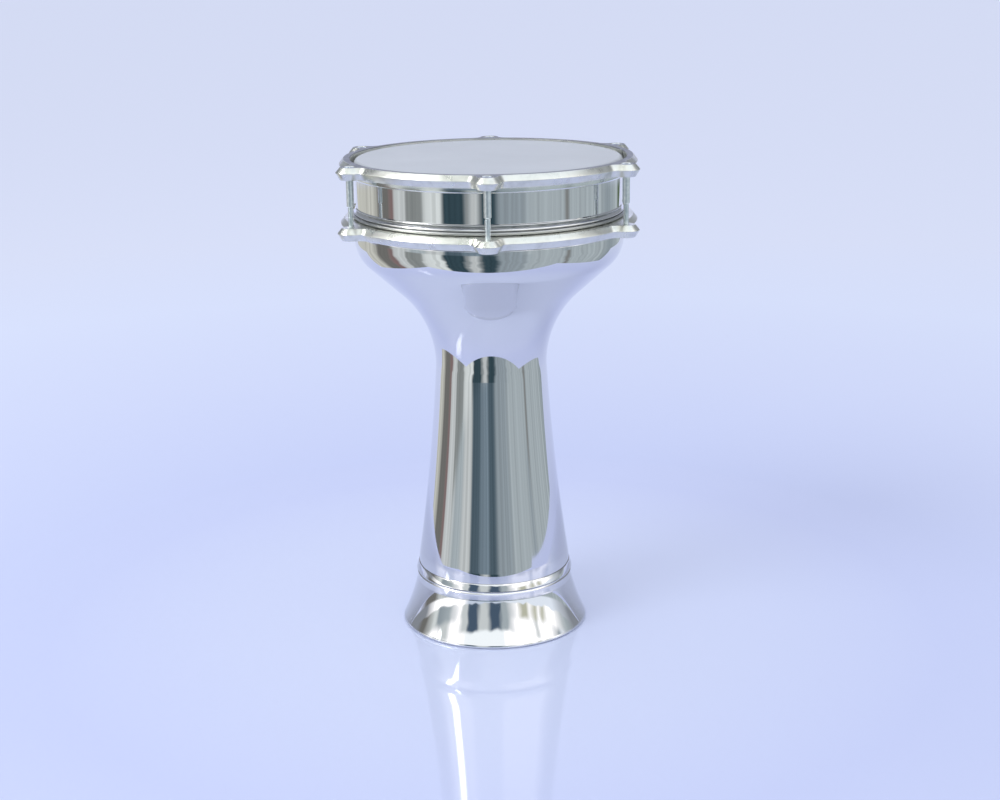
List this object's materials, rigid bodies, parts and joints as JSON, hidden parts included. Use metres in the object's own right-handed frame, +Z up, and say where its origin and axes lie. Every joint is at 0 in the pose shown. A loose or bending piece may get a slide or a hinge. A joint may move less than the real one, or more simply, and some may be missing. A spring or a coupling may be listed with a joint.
{
  "type": "goblet drum",
  "caption": "Metal goblet drum: hollow bowl, neck and flared foot in polished sheet, with a plastic head clamped by a cast tension ring and shoulder bolts.",
  "frame": {"origin": "middle of the foot's rim, on the floor", "axes": "+Z up along the drum's axis towards the head; -Y points to the front ear of the rings"},
  "size_m": [0.2546, 0.2844, 0.42],
  "materials": {
    "nickel_plate": "mirror polished, slightly warm",
    "cast_aluminium": "polished casting with soft tool marks",
    "plated_steel": "bright zinc plate",
    "hoop_aluminium": "drawn, satin",
    "head_film": "frosted polyester film"
  },
  "bodies": {
    "drum_body": {"body_shell": "nickel_plate", "collar_shell": "nickel_plate", "foot_shell": "nickel_plate", "stop_wire": "nickel_plate", "lower_ring": "cast_aluminium", "head_film": "head_film", "head_hoop": "hoop_aluminium"},
    "top_ring": {"top_ring": "cast_aluminium", "bolt_washer_1": "plated_steel", "bolt_washer_2": "plated_steel", "bolt_washer_3": "plated_steel", "bolt_washer_4": "plated_steel", "bolt_washer_5": "plated_steel", "bolt_washer_6": "plated_steel"},
    "tension_bolt_1": {"tension_bolt_1": "plated_steel"},
    "tension_bolt_2": {"tension_bolt_2": "plated_steel"},
    "tension_bolt_3": {"tension_bolt_3": "plated_steel"},
    "tension_bolt_4": {"tension_bolt_4": "plated_steel"},
    "tension_bolt_5": {"tension_bolt_5": "plated_steel"},
    "tension_bolt_6": {"tension_bolt_6": "plated_steel"}
  },
  "joints": [
    {"name": "top_ring_lift", "type": "slide", "parent": "drum_body", "child": "top_ring", "axis": [0, 0, 1], "range_m": [0, 0.008]},
    {"name": "bolt_1_turn", "type": "hinge", "parent": "top_ring", "child": "tension_bolt_1", "pos_m": [0, -0.1307, 0.38], "axis": [0, 0, 1], "range_deg": [0, 3600]},
    {"name": "bolt_2_turn", "type": "hinge", "parent": "top_ring", "child": "tension_bolt_2", "pos_m": [0.11319, -0.06535, 0.38], "axis": [0, 0, 1], "range_deg": [0, 3600]},
    {"name": "bolt_3_turn", "type": "hinge", "parent": "top_ring", "child": "tension_bolt_3", "pos_m": [0.11319, 0.06535, 0.38], "axis": [0, 0, 1], "range_deg": [0, 3600]},
    {"name": "bolt_4_turn", "type": "hinge", "parent": "top_ring", "child": "tension_bolt_4", "pos_m": [0, 0.1307, 0.38], "axis": [0, 0, 1], "range_deg": [0, 3600]},
    {"name": "bolt_5_turn", "type": "hinge", "parent": "top_ring", "child": "tension_bolt_5", "pos_m": [-0.11319, 0.06535, 0.38], "axis": [0, 0, 1], "range_deg": [0, 3600]},
    {"name": "bolt_6_turn", "type": "hinge", "parent": "top_ring", "child": "tension_bolt_6", "pos_m": [-0.11319, -0.06535, 0.38], "axis": [0, 0, 1], "range_deg": [0, 3600]}
  ],
  "couplings": [
    {"joint": "bolt_1_turn", "follows": "top_ring_lift", "rad_per_m": 7854},
    {"joint": "bolt_2_turn", "follows": "top_ring_lift", "rad_per_m": 7854},
    {"joint": "bolt_3_turn", "follows": "top_ring_lift", "rad_per_m": 7854},
    {"joint": "bolt_4_turn", "follows": "top_ring_lift", "rad_per_m": 7854},
    {"joint": "bolt_5_turn", "follows": "top_ring_lift", "rad_per_m": 7854},
    {"joint": "bolt_6_turn", "follows": "top_ring_lift", "rad_per_m": 7854}
  ]
}
